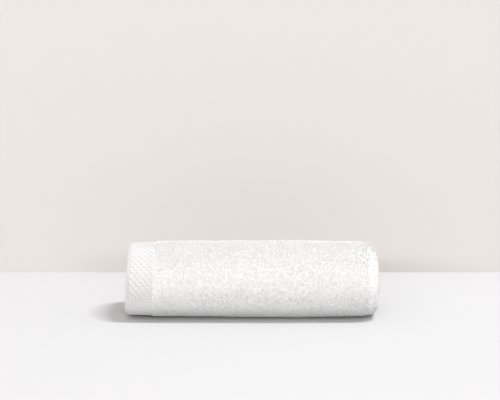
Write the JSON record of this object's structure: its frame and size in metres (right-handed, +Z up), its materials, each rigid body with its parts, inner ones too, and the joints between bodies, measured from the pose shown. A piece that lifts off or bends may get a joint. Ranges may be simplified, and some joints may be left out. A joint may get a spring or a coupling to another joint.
{
  "type": "rolled bath towel",
  "caption": "Cotton terry bath towel, folded lengthwise and rolled up, lying on its side, with a pile-free woven rib band along one end of the roll.",
  "frame": {"origin": "the middle of the roll's footprint box, on the surface that the roll lies on", "axes": "+X runs along the roll away from the end with the woven band, +Y from the front to the back, where the long edge of the cloth is tucked under, and +Z is up"},
  "size_m": [0.35, 0.132, 0.1],
  "materials": {
    "white_cotton_terry": "matt looped cotton pile with a flat-woven ribbed band"
  },
  "bodies": {
    "root": {"towel_roll": "white_cotton_terry"}
  },
  "joints": []
}
